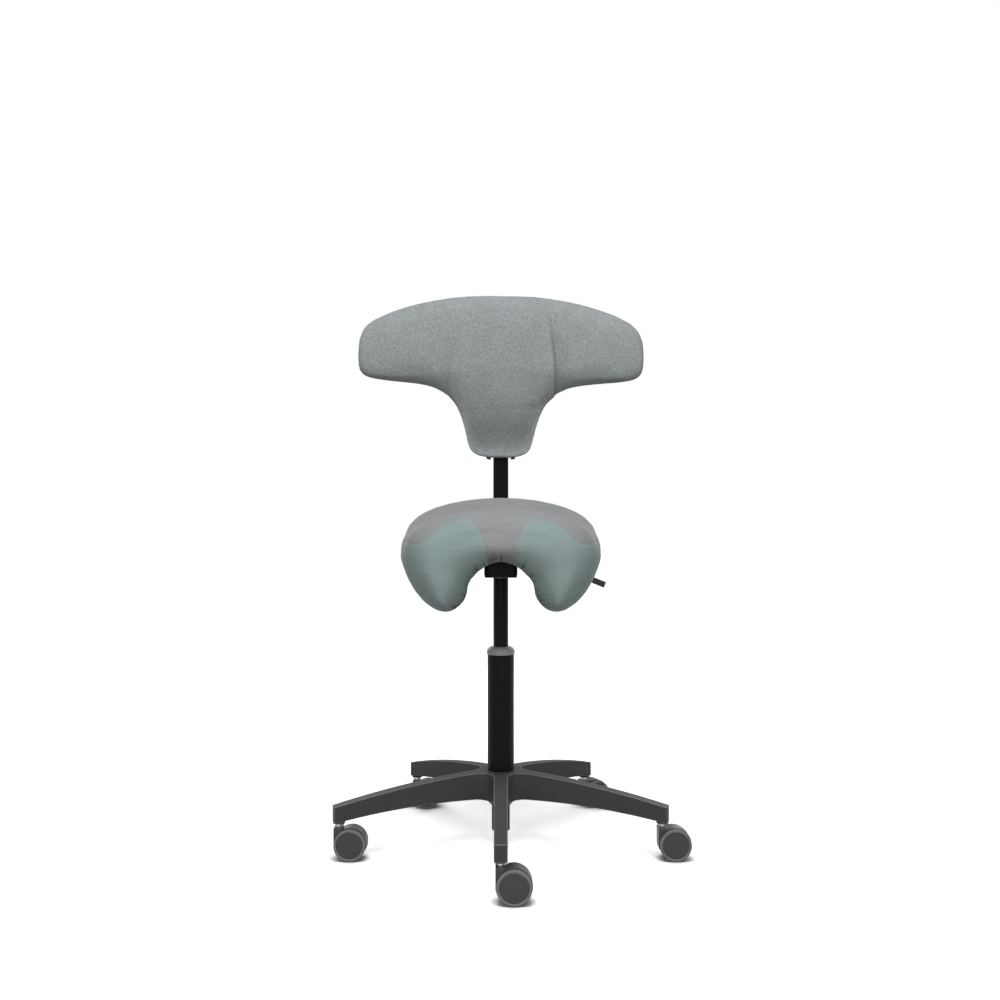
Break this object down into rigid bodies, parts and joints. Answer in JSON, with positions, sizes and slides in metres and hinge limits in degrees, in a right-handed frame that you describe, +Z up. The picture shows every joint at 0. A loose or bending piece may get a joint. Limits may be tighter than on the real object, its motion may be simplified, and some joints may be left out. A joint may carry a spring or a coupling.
{
  "type": "saddle stool",
  "caption": "Height-adjustable saddle stool with a T-shaped backrest on a flat J bar, a side lever, and a star base on twin-wheel castors.",
  "frame": {"origin": "on the floor, on the column's axis", "axes": "+Z up along the column; the rider faces -Y, the backrest stands on the +Y side, the lever is on the +X side"},
  "size_m": [0.6418, 0.612, 1.079],
  "materials": {
    "graphite_nylon": "fine grained, satin",
    "black_enamel": "satin black powder coat",
    "grey_guide_bush": "smooth, satin",
    "bearing_steel": "zinc plated and ground",
    "black_plastic": "fine grained, satin",
    "seat_cover": "grey and sage two-tone stretch cover",
    "back_cloth": "heathered grey weave",
    "castor_plastic": "smooth, semi-gloss",
    "castor_steel": "bright zinc",
    "grey_tread": "soft, matt"
  },
  "bodies": {
    "base": {"base_star": "graphite_nylon", "column_tube": "black_enamel", "column_bush": "grey_guide_bush", "thrust_bearing": "bearing_steel", "castor_1_stem": "castor_steel", "castor_2_stem": "castor_steel", "castor_3_stem": "castor_steel", "castor_4_stem": "castor_steel", "castor_5_stem": "castor_steel"},
    "rod": {"piston_rod": "bearing_steel", "rod_clip": "bearing_steel"},
    "lift": {"gas_cylinder": "black_enamel", "mechanism_housing": "black_enamel", "lever_pin": "bearing_steel", "seat_plate": "black_enamel", "seat_shell": "black_plastic", "seat_cushion": "seat_cover", "seat_screws": "bearing_steel"},
    "lever": {"height_lever": "black_enamel", "lever_grip": "black_plastic"},
    "release": {"release_pin": "bearing_steel"},
    "bar": {"back_bar": "black_enamel", "bar_cap": "black_plastic"},
    "depth_clamp": {"depth_knob": "black_plastic"},
    "back": {"back_sleeve": "black_plastic", "back_shell": "black_plastic", "back_cushion": "back_cloth", "back_screws": "bearing_steel"},
    "back_clamp": {"back_knob": "black_plastic"},
    "castor_1": {"castor_1_hood": "castor_plastic", "castor_1_axle": "castor_steel"},
    "castor_1_left": {"castor_1_left_wheel": "castor_plastic", "castor_1_left_tyre": "grey_tread"},
    "castor_1_right": {"castor_1_right_wheel": "castor_plastic", "castor_1_right_tyre": "grey_tread"},
    "castor_2": {"castor_2_hood": "castor_plastic", "castor_2_axle": "castor_steel"},
    "castor_2_left": {"castor_2_left_wheel": "castor_plastic", "castor_2_left_tyre": "grey_tread"},
    "castor_2_right": {"castor_2_right_wheel": "castor_plastic", "castor_2_right_tyre": "grey_tread"},
    "castor_3": {"castor_3_hood": "castor_plastic", "castor_3_axle": "castor_steel"},
    "castor_3_left": {"castor_3_left_wheel": "castor_plastic", "castor_3_left_tyre": "grey_tread"},
    "castor_3_right": {"castor_3_right_wheel": "castor_plastic", "castor_3_right_tyre": "grey_tread"},
    "castor_4": {"castor_4_hood": "castor_plastic", "castor_4_axle": "castor_steel"},
    "castor_4_left": {"castor_4_left_wheel": "castor_plastic", "castor_4_left_tyre": "grey_tread"},
    "castor_4_right": {"castor_4_right_wheel": "castor_plastic", "castor_4_right_tyre": "grey_tread"},
    "castor_5": {"castor_5_hood": "castor_plastic", "castor_5_axle": "castor_steel"},
    "castor_5_left": {"castor_5_left_wheel": "castor_plastic", "castor_5_left_tyre": "grey_tread"},
    "castor_5_right": {"castor_5_right_wheel": "castor_plastic", "castor_5_right_tyre": "grey_tread"}
  },
  "joints": [
    {"name": "seat_swivel", "type": "hinge", "parent": "base", "child": "rod", "pos_m": [0, 0, 0.3], "axis": [0, 0, 1], "continuous": true},
    {"name": "seat_height", "type": "slide", "parent": "rod", "child": "lift", "axis": [0, 0, 1], "range_m": [-0.125, 0.065]},
    {"name": "lever_lift", "type": "hinge", "parent": "lift", "child": "lever", "pos_m": [0.02, 0, 0.531], "axis": [0, -1, 0], "range_deg": [0, 5], "stiffness_Nm_per_rad": 4},
    {"name": "valve_press", "type": "slide", "parent": "lift", "child": "release", "axis": [0, 0, 1], "range_m": [-0.0025, 0]},
    {"name": "back_depth", "type": "slide", "parent": "lift", "child": "bar", "axis": [0, 1, 0], "range_m": [-0.025, 0.02]},
    {"name": "depth_clamp_turn", "type": "hinge", "parent": "lift", "child": "depth_clamp", "pos_m": [0, 0.088, 0.49], "axis": [0, 0, 1], "continuous": true},
    {"name": "back_height", "type": "slide", "parent": "bar", "child": "back", "axis": [0, 0, 1], "range_m": [-0.06, 0.05]},
    {"name": "back_clamp_turn", "type": "hinge", "parent": "back", "child": "back_clamp", "pos_m": [0, 0.26, 0.8006], "axis": [0, 1, 0], "continuous": true},
    {"name": "castor_1_swivel", "type": "hinge", "parent": "base", "child": "castor_1", "pos_m": [0, -0.304, 0.05], "axis": [0, 0, 1], "continuous": true},
    {"name": "castor_1_left_spin", "type": "hinge", "parent": "castor_1", "child": "castor_1_left", "pos_m": [0.021, -0.304, 0.0285], "axis": [0, 1, 0], "continuous": true},
    {"name": "castor_1_right_spin", "type": "hinge", "parent": "castor_1", "child": "castor_1_right", "pos_m": [0.021, -0.304, 0.0285], "axis": [0, 1, 0], "continuous": true},
    {"name": "castor_2_swivel", "type": "hinge", "parent": "base", "child": "castor_2", "pos_m": [0.28912, -0.09394, 0.05], "axis": [0, 0, 1], "continuous": true},
    {"name": "castor_2_left_spin", "type": "hinge", "parent": "castor_2", "child": "castor_2_left", "pos_m": [0.31012, -0.09394, 0.0285], "axis": [0, 1, 0], "continuous": true},
    {"name": "castor_2_right_spin", "type": "hinge", "parent": "castor_2", "child": "castor_2_right", "pos_m": [0.31012, -0.09394, 0.0285], "axis": [0, 1, 0], "continuous": true},
    {"name": "castor_3_swivel", "type": "hinge", "parent": "base", "child": "castor_3", "pos_m": [0.17869, 0.24594, 0.05], "axis": [0, 0, 1], "continuous": true},
    {"name": "castor_3_left_spin", "type": "hinge", "parent": "castor_3", "child": "castor_3_left", "pos_m": [0.19772, 0.25482, 0.0285], "axis": [-0.4226, 0.9063, 0], "continuous": true},
    {"name": "castor_3_right_spin", "type": "hinge", "parent": "castor_3", "child": "castor_3_right", "pos_m": [0.19772, 0.25482, 0.0285], "axis": [-0.4226, 0.9063, 0], "continuous": true},
    {"name": "castor_4_swivel", "type": "hinge", "parent": "base", "child": "castor_4", "pos_m": [-0.17869, 0.24594, 0.05], "axis": [0, 0, 1], "continuous": true},
    {"name": "castor_4_left_spin", "type": "hinge", "parent": "castor_4", "child": "castor_4_left", "pos_m": [-0.15769, 0.24594, 0.0285], "axis": [0, 1, 0], "continuous": true},
    {"name": "castor_4_right_spin", "type": "hinge", "parent": "castor_4", "child": "castor_4_right", "pos_m": [-0.15769, 0.24594, 0.0285], "axis": [0, 1, 0], "continuous": true},
    {"name": "castor_5_swivel", "type": "hinge", "parent": "base", "child": "castor_5", "pos_m": [-0.28912, -0.09394, 0.05], "axis": [0, 0, 1], "continuous": true},
    {"name": "castor_5_left_spin", "type": "hinge", "parent": "castor_5", "child": "castor_5_left", "pos_m": [-0.26812, -0.09394, 0.0285], "axis": [0, 1, 0], "continuous": true},
    {"name": "castor_5_right_spin", "type": "hinge", "parent": "castor_5", "child": "castor_5_right", "pos_m": [-0.26812, -0.09394, 0.0285], "axis": [0, 1, 0], "continuous": true}
  ],
  "couplings": [
    {"joint": "valve_press", "follows": "lever_lift", "m_per_rad": -0.02}
  ]
}
